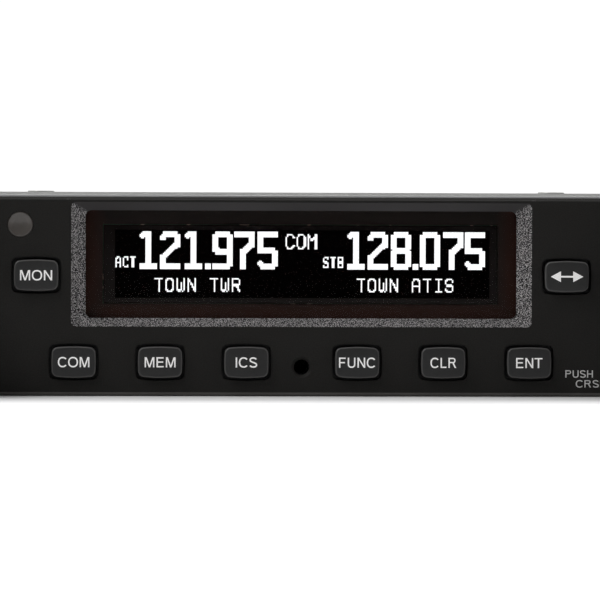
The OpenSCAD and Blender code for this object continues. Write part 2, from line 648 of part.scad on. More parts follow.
// Flat packages: [middle, width, depth, height]
packages = [[[-40, 156], 14, 14, 1.6], [[-15, 156], 10, 6, 1.8], [[0, 156], 7, 10, 1.8], [[56, 96], 12, 18, 1.8],
  [[60, 130], 10, 6, 1.8], [[-8, 209], 10, 14, 1.8]];
module chips() from_face() color([0.08, 0.08, 0.09]) union() {
  for (p = packages) translate([p[0][0], p[0][1], main_top])
    block([-p[1] / 2, -p[2] / 2, 0], [p[1] / 2, p[2] / 2, p[3]]);
  for (x = [-40, 34]) at(x, 18) block([-6, board_back, -6], [6, board_back + 1.3, 6]);
}

// ---------------------------------------------------------------- wiring inside

ribbon_z = 20;
ribbon_y = 70;
ribbon_w = 26;
ribbon_t = 0.8;
ribbon_bend = 4;
module board_connectors() from_face() color([0.12, 0.12, 0.13]) union() {
  block([-15, board_back, ribbon_z - 3], [15, board_back + 4, ribbon_z + 3]);
  block([-15, ribbon_y - 3, main_top], [15, ribbon_y + 3, 14.4]);
  translate([data_x, 0, 0]) block([-19, rear_in - 12, main_top], [19, rear_in - 8, 19]);
}

// Flat cable from the front board, bent down into the main board's header
module front_ribbon() from_face() color([0.62, 0.62, 0.6]) union() {
  block([-ribbon_w / 2, board_back + 4, ribbon_z - ribbon_t / 2],
    [ribbon_w / 2, ribbon_y - ribbon_bend, ribbon_z + ribbon_t / 2]);
  translate([-ribbon_w / 2, ribbon_y - ribbon_bend, ribbon_z - ribbon_bend]) rotate([90, 0, 90])
    rotate_extrude(angle = 90) translate([ribbon_bend - ribbon_t / 2, 0]) square([ribbon_t, ribbon_w]);
  block([-ribbon_w / 2, ribbon_y - ribbon_t / 2, 14.4], [ribbon_w / 2, ribbon_y + ribbon_t / 2, ribbon_z - ribbon_bend]);
}

// Coaxial lead from the board up to the antenna connector
lead_r = 1.3;
lead_bend = 4;
lead_y = rear_in - 14;
module antenna_lead() from_face() color([0.55, 0.4, 0.25]) translate([antenna_x, 0, 0]) union() {
  translate([0, lead_y, 0]) post(lead_r, main_top, connector_z - lead_bend);
  translate([0, lead_y + lead_bend, connector_z - lead_bend]) rotate([90, 0, -90])
    rotate_extrude(angle = 90) translate([lead_bend, 0]) circle(lead_r);
  at(0, connector_z) bar(lead_r, lead_y + lead_bend, rear_in - 6);
}

// ---------------------------------------------------------------- rear connectors

module data_connector_shell() from_face() color([0.8, 0.78, 0.72]) at(data_x, connector_z) difference() {
  union() {
    slab(case_d, case_d + 1.2) round_rect(flange[0], flange[1], 1.5);
    slab(case_d, shell_back) d_outline(shell_top_w, shell_h);
  }
  slab(case_d - cut, shell_back + cut) d_outline(shell_top_w - 2 * shell_t, shell_h - 2 * shell_t);
  for (s = [-1, 1]) translate([s * post_pitch / 2, 0, 0]) bar(1.6, case_d - cut, case_d + 2);
}

contact_spots = [for (i = [0:12]) [(i - 6) * contact_pitch, contact_rows / 2],
  for (i = [0:11]) [(i - 5.5) * contact_pitch, -contact_rows / 2]];
module data_connector_insert() from_face() color([0.1, 0.1, 0.11]) at(data_x, connector_z) difference() {
  slab(rear_in - 8, shell_back - 0.3) d_outline(shell_top_w - 2 * shell_t - 0.1, shell_h - 2 * shell_t - 0.1);
  for (p = contact_spots) at(p[0], p[1]) bar(0.6, rear_in - 9, shell_back);
}

module data_connector_pins() from_face() color([0.85, 0.7, 0.35]) at(data_x, connector_z)
  for (p = contact_spots) at(p[0], p[1]) bar(0.5, rear_in - 7.9, shell_back - 1);

module jack_posts() from_face() color([0.8, 0.8, 0.78]) for (s = [-1, 1]) at(data_x + s * post_pitch / 2, connector_z) difference() {
  union() {
    hex_bar(4.8, case_d + 1.2, case_d + 6.4);
    bar(1.5, rear_in - 1, case_d + 1.3);
  }
  bar(thread_r, case_d + 1.6, case_d + 6.4 + cut);
}

// Bayonet antenna connector: barrel with a plain lip at its end, panel nut and two lugs
antenna_lip = 2.2;
module antenna_jack() from_face() color([0.82, 0.8, 0.75]) at(antenna_x, connector_z) difference() {
  union() {
    bar(antenna_r - 0.2, rear_in - 6, antenna_end - 1);
    bar(antenna_r, antenna_end - antenna_lip, antenna_end);
    hex_bar(13, case_d, case_d + antenna_nut_t);
    hex_bar(13, rear_in - 3, rear_in);
    for (s = [-1, 1]) translate([0, antenna_end - 3.4, s * antenna_r]) post(1, -0.9, 0.9);
  }
  bar(4.05, case_d + 2, antenna_end + cut);
  bar(2.4 + fit, rear_in - 5, antenna_end);
  bar(lead_r + fit, rear_in - 6 - cut, rear_in);
}

module antenna_insulator() from_face() color([0.93, 0.93, 0.9]) at(antenna_x, connector_z) difference() {
  bar(2.4, rear_in - 4.9, antenna_end - 2.4);
  bar(1 + fit, rear_in - 6, antenna_end);
}

module antenna_contact() from_face() color([0.85, 0.7, 0.35]) at(antenna_x, connector_z) difference() {
  bar(1, rear_in - 4.9, antenna_end - 2.6);
  bar(0.68, antenna_end - 8, antenna_end);
}

front_bezel();
display_lens();
lens_gasket();
display_frame();
display_panel();
display_backlight();
light_sensor_window();
light_sensor();
keypad_mat();
key_switches();
front_board();
volume_control();
tuning_encoder();
bushing_nuts();
front_plate();
lock_bracket();
chassis();
top_cover();
rear_panel();
heat_sink();
main_board();
board_standoffs();
inner_screws();
case_screws();
shield_cans();
power_transistors();
capacitors();
toroid_coils();
audio_transformer();
reference_oscillator();
chips();
board_connectors();
front_ribbon();
antenna_lead();
data_connector_shell();
data_connector_insert();
data_connector_pins();
jack_posts();
antenna_jack();
antenna_insulator();
antenna_contact();
data_plate();
key_mon();
key_com();
key_mem();
key_ics();
key_func();
key_clr();
key_ent();
key_swap();
volume_knob();
volume_shaft();
outer_tuning_knob();
outer_shaft();
inner_tuning_knob();
inner_shaft();
push_plunger();
lock_screw();
lock_pawl();
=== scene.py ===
"""Looks of the panel-mounted aircraft radio: its face, keys, knobs, case and connectors."""

import json
import math

import bmesh
import bpy
import numpy as np
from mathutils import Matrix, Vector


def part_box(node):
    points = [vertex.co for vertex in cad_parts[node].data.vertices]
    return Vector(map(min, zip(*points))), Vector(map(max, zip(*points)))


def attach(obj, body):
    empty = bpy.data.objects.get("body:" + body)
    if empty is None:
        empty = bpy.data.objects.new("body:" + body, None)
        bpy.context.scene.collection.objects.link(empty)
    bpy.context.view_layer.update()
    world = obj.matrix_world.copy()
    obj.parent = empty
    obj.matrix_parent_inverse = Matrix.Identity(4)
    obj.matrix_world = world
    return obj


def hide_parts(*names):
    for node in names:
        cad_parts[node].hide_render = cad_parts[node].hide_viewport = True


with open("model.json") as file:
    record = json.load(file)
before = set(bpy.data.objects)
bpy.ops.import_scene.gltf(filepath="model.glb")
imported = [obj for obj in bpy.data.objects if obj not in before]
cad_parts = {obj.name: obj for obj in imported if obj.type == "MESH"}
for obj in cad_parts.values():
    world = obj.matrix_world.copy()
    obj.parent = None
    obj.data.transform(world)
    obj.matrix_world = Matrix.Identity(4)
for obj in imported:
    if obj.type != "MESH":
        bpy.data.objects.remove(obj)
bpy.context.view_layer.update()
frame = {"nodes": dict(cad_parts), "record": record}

MM = 0.001
NODES = frame["nodes"]


def span_mm(node):
    """Lowest and highest corner of a node, in millimetres."""
    low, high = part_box(node)
    return np.array(low) / MM, np.array(high) / MM


def middle_mm(node):
    """Middle of a node's box, in millimetres."""
    low, high = span_mm(node)
    return (low + high) / 2


FACE_Y = span_mm("front_bezel")[0][1]
BEZEL_BACK = span_mm("front_bezel")[1][1]
KEYS = {"mon": "MON", "com": "COM", "mem": "MEM", "ics": "ICS", "func": "FUNC", "clr": "CLR", "ent": "ENT"}


# ------------------------------------------------------------------ shaders

class Wire:
    """A socket whose arithmetic adds Math nodes."""

    def __init__(self, paint, socket):
        self.paint = paint
        self.socket = socket

    def math(self, operation, *values):
        inputs = dict(enumerate(values))
        return self.paint.node("Math", {"operation": operation}, inputs)

    def __add__(self, other):
        return self.math("ADD", self, other)

    def __sub__(self, other):
        return self.math("SUBTRACT", self, other)

    def __mul__(self, other):
        return self.math("MULTIPLY", self, other)

    def __rsub__(self, other):
        return self.math("SUBTRACT", other, self)

    def __pow__(self, other):
        return self.math("POWER", self, other)

    __radd__ = __add__
    __rmul__ = __mul__

    def above(self, level, soft=0.0):
        """1 where the value is over the level, with a soft step of the given width."""
        if soft == 0:
            return self.math("GREATER_THAN", self, level)
        return ((self - (level - soft / 2)) * (1 / soft)).clamped()

    def clamped(self):
        return self.math("MINIMUM", self.math("MAXIMUM", self, 0.0), 1.0)

    def size(self):
        return self.math("ABSOLUTE", self)


class Paint:
    """A material under construction; node() adds any node and gives its output."""

    def __init__(self, name):
        self.material = bpy.data.materials.new(name)
        self.material.use_nodes = True
        self.tree = self.material.node_tree
        self.tree.nodes.clear()

    def node(self, kind, settings=None, inputs=None, out=0):
        made = self.tree.nodes.new("ShaderNode" + kind)
        for key, value in (settings or {}).items():
            if key == "stops":
                self.set_stops(made.color_ramp, value)
            else:
                setattr(made, key, value)
        for key, value in (inputs or {}).items():
            if isinstance(value, Wire):
                self.tree.links.new(value.socket, made.inputs[key])
            else:
                made.inputs[key].default_value = value
        return Wire(self, made.outputs[out]) if len(made.outputs) else None

    @staticmethod
    def set_stops(ramp, stops):
        while len(ramp.elements) < len(stops):
            ramp.elements.new(1.0)
        for element, (place, colour) in zip(ramp.elements, stops):
            element.position = place
            element.color = (*colour, 1.0)

    def place(self):
        """Object coordinates, in metres."""
        return self.node("TexCoord", out=3)

    def axes(self, vector=None):
        """The three parts of a vector, in millimetres."""
        source = (vector or self.place()).socket
        split = self.tree.nodes.new("ShaderNodeSeparateXYZ")
        self.tree.links.new(source, split.inputs[0])
        return [Wire(self, split.outputs[i]) * (1 / MM) for i in range(3)]

    def stretched(self, factors):
        """Object coordinates scaled along each axis."""
        return self.node("VectorMath", {"operation": "MULTIPLY"}, {0: self.place(), 1: factors})

    def noise(self, grain_mm, detail=2.0, rough=0.5, vector=None):
        """Cloudy noise whose grain has about the given size."""
        inputs = {"Scale": 1 / (grain_mm * MM), "Detail": detail, "Roughness": rough}
        inputs["Vector"] = vector or self.place()
        return self.node("TexNoise", None, inputs)

    def cells(self, grain_mm, vector=None, feature="F1"):
        """Distance to the nearest of many scattered points."""
        inputs = {"Scale": 1 / (grain_mm * MM), "Vector": vector or self.place()}
        return self.node("TexVoronoi", {"feature": feature}, inputs)

    def blend(self, factor, first, second):
        """Colour between two colours."""
        first = first if isinstance(first, Wire) else (*first, 1.0)
        second = second if isinstance(second, Wire) else (*second, 1.0)
        return self.node("Mix", {"data_type": "RGBA"}, {0: factor, 6: first, 7: second}, out=2)

    def bump(self, height, depth_mm, strength=1.0):
        """Normal of a relief with the given depth."""
        return self.node("Bump", None, {"Height": height, "Distance": depth_mm * MM, "Strength": strength})

    def surface(self, base, rough, metal=0.0, normal=None, **constants):
        """Closes the material with a Principled shader."""
        inputs = {"Base Color": base if isinstance(base, Wire) else (*base, 1.0)}
        inputs["Roughness"] = rough
        inputs["Metallic"] = metal
        if normal is not None:
            inputs["Normal"] = normal
        for key, value in constants.items():
            name = key.replace("_", " ").title().replace("Ior", "IOR")
            inputs[name] = value
        shader = self.node("BsdfPrincipled", None, inputs)
        self.node("OutputMaterial", None, {0: shader})
        return self.material


# The third face colour is a painted reflection of the white floor, laid on the face's bottom chamfer.
FACE_BLACK, FACE_GREY, FACE_CHAMFER_PAINTED_REFLECTION = (0.0068, 0.0062, 0.0053), (0.0168, 0.0156, 0.0138), (0.11, 0.106, 0.1)
# Wall colours of the display surround are painted light: the first is a flat painted lit tone for the top wall, the
# middle is the dark between the grains and the last is a painted glint on the grain of the side and foot walls.
WALL_TOP_PAINTED_LIT, WALL_DARK, WALL_PAINTED_GLINT = (0.052, 0.049, 0.05), (0.012, 0.0115, 0.012), (0.52, 0.5, 0.5)


def moulded_face():
    """Black moulded plastic with a fine spark-eroded grain. The display surround is painted greyer than the face, as
    painted light on its sloping walls: a flat painted lit tone on the top wall and painted glints on the coarser
    grain of the side and foot walls. The face's bottom chamfer carries a painted reflection of the floor.
    """
    paint = Paint("moulded_face")
    x, y, z = paint.axes()
    depth = y - FACE_Y
    # This mask marks the sloping walls of the display surround, which are painted lighter than the face as painted
    # light.
    inside = x.size().above(38.2) * -1 + 1
    inside = inside * depth.above(0.08, 0.06) * (depth.above(2.1) * -1 + 1)
    inside = inside * z.above(10.8) * (z.above(31.9) * -1 + 1)
    side = (x.size() + depth * 1.29).above(37.25, 0.3)
    foot = 1 - (z - depth * 0.74).above(11.5, 0.2)
    # The side and foot walls get a coarser grain relief and painted glints on that grain.
    coarse_glinting_walls = inside * (side + foot).clamped()
    grain = paint.noise(0.12, 3.0, 0.6)
    cloud = paint.noise(3.5, 2.0)
    sparkle = paint.noise(0.17, 1.5, 0.5).above(0.54, 0.12)
    dark = paint.blend(cloud * 0.35 + paint.noise(0.2, 1.0).above(0.5, 0.4) * 0.65, FACE_BLACK, FACE_GREY)
    # Painted reflection of the floor on the bottom chamfer of the face.
    chamfer = 1 - (z + depth * 0.2).above(0.58, 0.12)
    dark = paint.blend(chamfer, dark, FACE_CHAMFER_PAINTED_REFLECTION)
    # Painted glints on the grain of the side and foot walls.
    grey = paint.blend(sparkle, WALL_DARK, WALL_PAINTED_GLINT)
    base = paint.blend(inside, dark, paint.blend(coarse_glinting_walls, WALL_TOP_PAINTED_LIT, grey))
    rough = 0.56 + 0.12 * grain + 0.05 * cloud
    relief = paint.bump(grain + sparkle * coarse_glinting_walls * 1.5, 0.02, 0.55)
    return paint.surface(base, rough, normal=relief, specular_ior_level=0.27)


def key_plastic():
    """Dark grey satin key with a faint grain and a painted highlight on its rounded rim."""
    paint = Paint("key_plastic")
    x, y, z = paint.axes()
    back = y - (FACE_Y - 1.1)
    # This mask marks the rounded front edge of the key, which carries a painted highlight.
    rim = back.above(0.08, 0.06) * (1 - back.above(0.3, 0.1))
    grain = paint.noise(0.1, 3.0, 0.6)
    cloud = paint.noise(1.2, 2.0)
    base = paint.blend(cloud, (0.0145, 0.0145, 0.0145), (0.0205, 0.0202, 0.0198))
    # Painted highlight on the rim.
    base = paint.blend(rim, base, (0.085, 0.083, 0.081))
    relief = paint.bump(grain, 0.012, 0.5)
    return paint.surface(base, 0.42 + 0.12 * grain, normal=relief, specular_ior_level=0.5)


def printed_white():
    """White ink with a slightly uneven film and a faint painted glow."""
    paint = Paint("printed_white")
    film = paint.noise(0.25, 2.0)
    base = paint.blend(film, (0.78, 0.77, 0.76), (0.92, 0.91, 0.9))
    # The emission is a painted glow: the ink lights up a little whatever light falls on it.
    return paint.surface(base, 0.55, emission_color=(1.0, 0.99, 0.97, 1.0), emission_strength=0.25)


def printed_grey():
    """Grey ink of the legends on the face."""
    paint = Paint("printed_grey")
    film = paint.noise(0.25, 2.0)
    base = paint.blend(film, (0.66, 0.655, 0.65), (0.78, 0.775, 0.765))
    return paint.surface(base, 0.6)


def knob_plastic():
    """Black satin knob, greyer on its worn edges."""
    paint = Paint("knob_plastic")
    grain = paint.noise(0.1, 3.0, 0.6)
    worn = paint.node("NewGeometry", out=7).above(0.53, 0.05) * paint.noise(0.9, 3.0).above(0.45, 0.3)
    base = paint.blend(worn * 0.6, (0.014, 0.014, 0.0138), (0.05, 0.049, 0.047))
    relief = paint.bump(grain, 0.012, 0.5)
    return paint.surface(base, 0.4 + 0.14 * grain, normal=relief)


def lens_tint():
    """Brownish tinted acrylic."""
    paint = Paint("lens_tint")
    smear = paint.noise(14.0, 3.0, 0.6)
    return paint.surface((0.003, 0.0012, 0.001), 0.04 + 0.04 * smear, alpha=0.25, ior=1.45)


def mask_brown():
    """Matt mask behind the lens, near black by the panel and reddish brown towards the window's sides and foot."""
    paint = Paint("mask_brown")
    x, y, z = paint.axes()
    cloud = paint.noise(6.0, 2.0)
    inward = 35.1 - x.size()
    inward = inward.math("MINIMUM", inward, z - 12.6)
    red = (1.15 - inward * 0.33).clamped() * (0.8 + 0.3 * cloud)
    warm = paint.blend(red, (0.03, 0.019, 0.014), (0.078, 0.017, 0.006))
    return paint.surface(warm, 0.6, normal=paint.bump(paint.noise(0.15), 0.01, 0.3))


def display_glass():
    """Near-black polished glass of the display panel."""
    paint = Paint("display_glass")
    cloud = paint.noise(12.0, 2.0)
    base = paint.blend(cloud, (0.02, 0.017, 0.016), (0.028, 0.021, 0.019))
    return paint.surface(base, 0.12 + 0.05 * cloud)


def active_black():
    """Unlit pixels."""
    paint = Paint("active_black")
    cloud = paint.noise(5.0, 2.0)
    base = paint.blend(cloud, (0.0003, 0.0003, 0.0003), (0.0006, 0.0006, 0.0007))
    return paint.surface(base, 0.6, specular_ior_level=0.0)


def lit_pixels():
    """White glowing pixels, a little uneven from dot to dot."""
    paint = Paint("lit_pixels")
    uneven = paint.noise(0.4, 1.0)
    glow = paint.blend(uneven, (0.93, 0.95, 1.0), (1.0, 1.0, 1.0))
    return paint.surface((0.8, 0.8, 0.8), 0.5, emission_color=glow, emission_strength=2.2)


def light_pipe():
    """Smoked grey window of the light sensor."""
    paint = Paint("light_pipe")
    cloud = paint.noise(1.4, 2.0)
    base = paint.blend(cloud, (0.074, 0.068, 0.062), (0.105, 0.092, 0.083))
    return paint.surface(base, 0.32, coat_weight=0.3)


def brushed(name, colour, dark, along, rough=0.3, metal=1.0):
    """Brushed sheet metal: streaks along one axis, cloudy conversion coat, small scratches."""
    paint = Paint(name)
    factors = tuple(0.02 if axis == along else 1.0 for axis in range(3))
    streak = paint.noise(0.12, 3.0, 0.65, paint.stretched(factors))
    cloud = paint.noise(18.0, 4.0, 0.6)
    scratch = paint.noise(0.5, 2.0, 0.5, paint.stretched(tuple(0.01 if axis != along else 0.6 for axis in range(3))))
    base = paint.blend(cloud * 0.6 + streak * 0.4, dark, colour)
    level = rough + 0.16 * streak + 0.1 * cloud + 0.12 * scratch.above(0.7, 0.1)
    return paint.surface(base, level, metal, paint.bump(streak, 0.006, 0.35))


def plated(name, colour, dark, rough=0.22):
    """Bright plating with a faint bloom."""
    paint = Paint(name)
    cloud = paint.noise(2.5, 3.0, 0.6)
    fine = paint.noise(0.15, 2.0)
    base = paint.blend(cloud, dark, colour)
    return paint.surface(base, rough + 0.14 * cloud + 0.05 * fine, 1.0, paint.bump(fine, 0.004, 0.3))


def black_anodised():
    """Black anodised aluminium with a cloudy tone and a fine grain."""
    paint = Paint("black_anodised")
    grain = paint.noise(0.12, 3.0, 0.6)
    cloud = paint.noise(7.0, 3.0)
    base = paint.blend(cloud, (0.012, 0.012, 0.013), (0.022, 0.022, 0.024))
    return paint.surface(base, 0.38 + 0.15 * grain, 0.35, paint.bump(grain, 0.01, 0.4))


def dull(name, light, dark, rough=0.55, grain_mm=0.3, relief=0.01, **constants):
    """Plain moulded or rubber-like surface with a little grain."""
    paint = Paint(name)
    grain = paint.noise(grain_mm, 3.0, 0.6)
    cloud = paint.noise(grain_mm * 14, 2.0)
    base = paint.blend(cloud * 0.7 + grain * 0.3, dark, light)
    return paint.surface(base, rough + 0.12 * grain, normal=paint.bump(grain, relief, 0.4), **constants)


def circuit_board():
    """Green solder mask with copper runs showing through."""
    paint = Paint("circuit_board")
    runs = paint.node("TexBrick", {"offset": 0.5, "squash": 1.0}, {
        "Vector": paint.place(), "Color1": (0, 0, 0, 1), "Color2": (0.2, 0.2, 0.2, 1), "Mortar": (1, 1, 1, 1),
        "Scale": 90.0, "Mortar Size": 0.03, "Brick Width": 0.9, "Row Height": 0.25})
    pads = 1 - paint.cells(2.2).above(0.22, 0.05)
    base = paint.blend(runs, (0.006, 0.055, 0.024), (0.016, 0.11, 0.045))
    base = paint.blend(pads, base, (0.62, 0.55, 0.38))
    return paint.surface(base, 0.34, normal=paint.bump(runs, 0.03, 0.3))


MATERIALS = {
    "bezel_black": moulded_face(),
    "key_grey": key_plastic(),
    "knob_black": knob_plastic(),
    "lens": lens_tint(),
    "gasket": dull("gasket_foam", (0.02, 0.02, 0.02), (0.01, 0.01, 0.01), 0.85),
    "mask": mask_brown(),
    "display": display_glass(),
    "diffuser": dull("diffuser_white", (0.85, 0.85, 0.83), (0.78, 0.78, 0.76)),
    "light_pipe": light_pipe(),
    "board": circuit_board(),
    "silicone": dull("silicone_grey", (0.5, 0.5, 0.48), (0.42, 0.42, 0.4), 0.5),
    "machined": brushed("machined_plate", (0.96, 0.96, 0.96), (0.76, 0.76, 0.77), 2, 0.42, 0.2),
    "sheet": brushed("coated_sheet", (0.86, 0.86, 0.84), (0.66, 0.66, 0.64), 1, 0.36, 0.6),
    "black_anodised": black_anodised(),
    "steel": plated("zinc_steel", (0.66, 0.66, 0.64), (0.5, 0.5, 0.48), 0.26),
    "tin": plated("tinned_sheet", (0.76, 0.76, 0.74), (0.62, 0.62, 0.6), 0.3),
    "brass": plated("turned_brass", (0.78, 0.62, 0.34), (0.62, 0.46, 0.22), 0.24),
    "gold": plated("gold_flash", (0.95, 0.72, 0.33), (0.82, 0.58, 0.24), 0.18),
    "package": dull("package_epoxy", (0.022, 0.022, 0.023), (0.014, 0.014, 0.015), 0.5),
    "sleeve": dull("sleeve_blue", (0.02, 0.028, 0.08), (0.012, 0.018, 0.05), 0.25),
    "ferrite": dull("wound_copper", (0.5, 0.22, 0.09), (0.3, 0.12, 0.05), 0.3, 0.6, 0.1),
    "laminations": dull("lamination_steel", (0.26, 0.26, 0.27), (0.16, 0.16, 0.17), 0.4),
    "ribbon": dull("ribbon_grey", (0.42, 0.42, 0.4), (0.36, 0.36, 0.34), 0.4),
    "cable": dull("lead_sleeve", (0.4, 0.26, 0.13), (0.3, 0.18, 0.08), 0.35),
    "nickel": plated("bright_nickel", (0.8, 0.78, 0.74), (0.68, 0.66, 0.61), 0.16),
    "insulator": dull("insulator_white", (0.86, 0.86, 0.83), (0.78, 0.78, 0.75), 0.4),
    "plate": brushed("foil_plate", (0.82, 0.82, 0.8), (0.72, 0.72, 0.7), 0, 0.3),
}
# White ink of the legends and the pointer, with a faint painted glow.
GLOWING_WHITE_INK = printed_white()
GREY_INK = printed_grey()
ACTIVE_BLACK = active_black()
LIT = lit_pixels()

for row in frame["record"]["subparts"]:
    made = NODES[row["node"]]
    made.data.materials.clear()
    made.data.materials.append(MATERIALS[row["material_slot"]])
NODES["lock_screw"].data.materials[0] = dull("black_oxide", (0.007, 0.007, 0.007), (0.004, 0.004, 0.004), 0.6)


# ------------------------------------------------------------------ meshes

def piece(name, points, faces, material, body, replaces=None, smooth=True):
    """New mesh piece from points in millimetres, riding on a body."""
    mesh = bpy.data.meshes.new(name)
    mesh.from_pydata((np.asarray(points, float).reshape(-1, 3) * MM).tolist(), [], faces)
    mesh.polygons.foreach_set("use_smooth", [smooth] * len(mesh.polygons))
    mesh.materials.append(material)
    mesh.update()
    made = bpy.data.objects.new(name, mesh)
    bpy.context.scene.collection.objects.link(made)
    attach(made, body)
    if replaces:
        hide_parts(replaces)
    return made


def loft_faces(layers, around, capped=True):
    """Quads between closed rings of equal size, with an end face on the first and last ring."""
    i, j = np.meshgrid(np.arange(layers - 1), np.arange(around), indexing="ij")
    nxt = (j + 1) % around
    quads = np.stack([i * around + j, i * around + nxt, (i + 1) * around + nxt, (i + 1) * around + j], -1)
    faces = quads.reshape(-1, 4).tolist()
    if capped:
        faces.append(list(range(around))[::-1])
        faces.append([(layers - 1) * around + k for k in range(around)])
    return faces


BODY_OF = {node: body for body, members in frame["record"]["behaviour"]["bodies"].items() for node in members}
SLOT_OF = {row["node"]: row["material_slot"] for row in frame["record"]["subparts"]}


def outward(mesh, merge_mm=0.0, flatten_deg=0.0):
    """Joins doubled points and merges coplanar facets when asked; only when it joins no points does it turn every
    face of a closed shell outwards.
    """
    work = bmesh.new()
    work.from_mesh(mesh)
    if merge_mm:
        bmesh.ops.remove_doubles(work, verts=work.verts, dist=merge_mm * MM)
    if flatten_deg:
        bmesh.ops.dissolve_limit(work, angle_limit=math.radians(flatten_deg), use_dissolve_boundaries=False,
                                 verts=work.verts, edges=work.edges)
    if not merge_mm:
        bmesh.ops.recalc_face_normals(work, faces=work.faces)
    work.to_mesh(mesh)
    work.free()


def bevel(made, width_mm, segments=2, angle_deg=30):
    """Rounds edges sharper than the angle."""
    edges = made.modifiers.new("edges", "BEVEL")
    edges.width = width_mm * MM
    edges.segments = segments
    edges.limit_method = "ANGLE"
    edges.angle_limit = math.radians(angle_deg)
    edges.use_clamp_overlap = True
    edges.harden_normals = True
    return made


def finished(node, name, width_mm, segments=2, angle_deg=30):
    """Merged copy of a CAD node, with its edges rounded, that stands for it."""
    source = NODES[node].data
    points = np.empty(len(source.vertices) * 3)
    source.vertices.foreach_get("co", points)
    corners = np.empty(len(source.loops), int)
    source.loops.foreach_get("vertex_index", corners)
    made = piece(name, points / MM, corners.reshape(-1, 3).tolist(), MATERIALS[SLOT_OF[node]],
                 BODY_OF[node], node)
    outward(made.data, 0.002, 0.4)
    made.data.polygons.foreach_set("use_smooth", [True] * len(made.data.polygons))
    return bevel(made, width_mm, segments, angle_deg)


def rounded(corners, radius, steps=4):
    """Path whose inner corners become short curves: (1-t)^2 before + 2t(1-t) corner + t^2 after."""
    corners = np.asarray(corners, float)
    t = np.linspace(0, 1, steps + 1)[:, None]
    path = [corners[:1]]
    for last, here, after in zip(corners, corners[1:], corners[2:]):
        reach_in, reach_out = np.linalg.norm(last - here), np.linalg.norm(after - here)
        start = here + (last - here) * min(radius / reach_in, 0.49)
        end = here + (after - here) * min(radius / reach_out, 0.49)
        path.append((1 - t) ** 2 * start + 2 * t * (1 - t) * here + t ** 2 * end)
    path.append(corners[-1:])
    return np.concatenate(path)


def bowed_outline(width, height, radius=0.75, bow_x=0.14, bow_z=0.24, arc=7, side=8):
    """Rounded rectangle whose sides bulge: x + x/a bow_x (1-(z/b)^2), z + z/b bow_z (1-(x/a)^2)."""
    a, b = width / 2 - bow_x, height / 2 - bow_z
    turn = np.linspace(0, math.pi / 2, arc)
    ring = []
    for k, (sx, sz) in enumerate([(1, 1), (-1, 1), (-1, -1), (1, -1)]):
        angle = turn + k * math.pi / 2
        centre = np.array([sx * (a - radius), sz * (b - radius)])
        ring.append(centre + radius * np.stack([np.cos(angle), np.sin(angle)], 1))
    joined = []
    for k in range(4):
        joined.append(ring[k])
        gap = np.linspace(ring[k][-1], ring[(k + 1) % 4][0], side + 1)[1:-1]
        joined.append(gap)
    flat = np.concatenate(joined)
    x, z = flat[:, 0], flat[:, 1]
    return np.stack([x + x / a * bow_x * (1 - (z / b) ** 2), z + z / b * bow_z * (1 - (x / a) ** 2)], 1)


def key_cap(key, centre):
    """Key as rings of its bulging outline: flange, straight side, quarter-round rim and a slightly crowned top."""
    proud, rim = 1.1, 0.3
    front = FACE_Y - proud
    rings = [(9.1, 6.8, FACE_Y + 3.3, 0.6), (9.1, 6.8, FACE_Y + 2.5, 0.6), (7.2, 5.1, FACE_Y + 2.5, 0.75)]
    turn = np.linspace(0, math.pi / 2, 6)
    for angle in turn:
        inset = rim * (1 - math.cos(angle))
        rings.append((7.2 - 2 * inset, 5.1 - 2 * inset, front + 0.05 + rim * (1 - math.sin(angle)),
                      0.75 - inset * 0.8))
    for share in (0.9, 0.7, 0.45, 0.2):
        lift = 0.05 * (1 - share ** 2)
        rings.append((6.6 * share, 4.5 * share, front + 0.05 - lift, 0.35 * share))
    layers = []
    for width, height, y, radius in rings:
        grow = min(1.0, width / 6)
        flat = bowed_outline(width, height, radius, 0.14 * grow, 0.24 * grow)
        layers.append(np.column_stack([flat[:, 0] + centre[0], np.full(len(flat), y), flat[:, 1] + centre[2]]))
    made = piece("cap_" + key, np.concatenate(layers), loft_faces(len(layers), len(layers[0])),
                 MATERIALS["key_grey"], "key_" + key, "key_" + key)
    outward(made.data)
    made.data.set_sharp_from_angle(angle=math.radians(50))
    return made


def turned(name, profile, centre, around, material, body, replaces, ripple=None):
    """Surface turned about the Y axis: (r cos a, y, r sin a) along the profile, less the ripple at (r, y, a)."""
    profile = np.asarray(profile, float)
    angle = np.arange(around) * 2 * math.pi / around
    r, a = np.meshgrid(profile[:, 0], angle, indexing="ij")
    y = np.broadcast_to(profile[:, 1][:, None], r.shape)
    if ripple is not None:
        r = r - ripple(r, y, a)
    points = np.stack([centre[0] + r * np.cos(a), FACE_Y + y, centre[2] + r * np.sin(a)], -1)
    made = piece(name, points, loft_faces(len(profile), around), material, body, replaces)
    outward(made.data)
    made.data.set_sharp_from_angle(angle=math.radians(38))
    return made


STEM = 0.145


def band(path, width=STEM, closed=False):
    """Flat band of even width along a path: each point plus and minus half the width along the path's normal."""
    path = np.asarray(path, float)
    if closed:
        along = np.roll(path, -1, 0) - np.roll(path, 1, 0)
    else:
        along = np.gradient(path, axis=0)
    along /= np.linalg.norm(along, axis=1)[:, None]
    side = np.stack([-along[:, 1], along[:, 0]], 1) * width / 2
    count = len(path)
    last = count if closed else count - 1
    faces = [[i, (i + 1) % count, count + (i + 1) % count, count + i] for i in range(last)]
    return np.concatenate([path - side, path + side]), faces


def oval(centre, reach, start, stop, steps=24, power=2.3):
    """Arc of a squarish oval: centre + reach * sign(cos) |cos|^(2/power), likewise for sin."""
    a = np.radians(np.linspace(start, stop, steps))
    c, s = np.cos(a), np.sin(a)
    return np.stack([centre[0] + reach[0] * np.sign(c) * np.abs(c) ** (2 / power),
                     centre[1] + reach[1] * np.sign(s) * np.abs(s) ** (2 / power)], 1)


